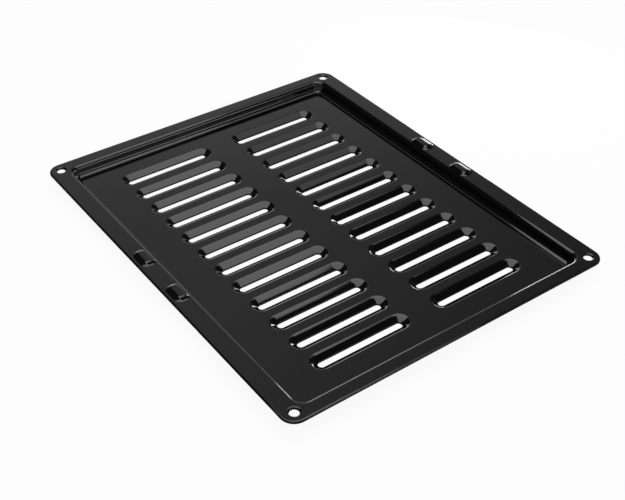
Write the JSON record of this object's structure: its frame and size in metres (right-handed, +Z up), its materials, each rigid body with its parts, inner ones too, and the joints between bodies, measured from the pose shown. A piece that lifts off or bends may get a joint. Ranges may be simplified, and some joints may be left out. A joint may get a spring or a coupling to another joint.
{
  "type": "broiler pan",
  "caption": "Shallow rectangular broiler pan stamped from one sheet: flat rim, corner holes, locating bumps, and a sunken floor of drawn drip slots.",
  "frame": {"origin": "under the middle of the pan, level with the slot lips that it stands on", "axes": "+X along the long sides, +Y along the slots and short sides, +Z up out of the well"},
  "size_m": [0.3874, 0.318, 0.017],
  "materials": {
    "enamel": "glossy black porcelain enamel on steel"
  },
  "bodies": {
    "root": {"broiler_pan": "enamel"}
  },
  "joints": []
}
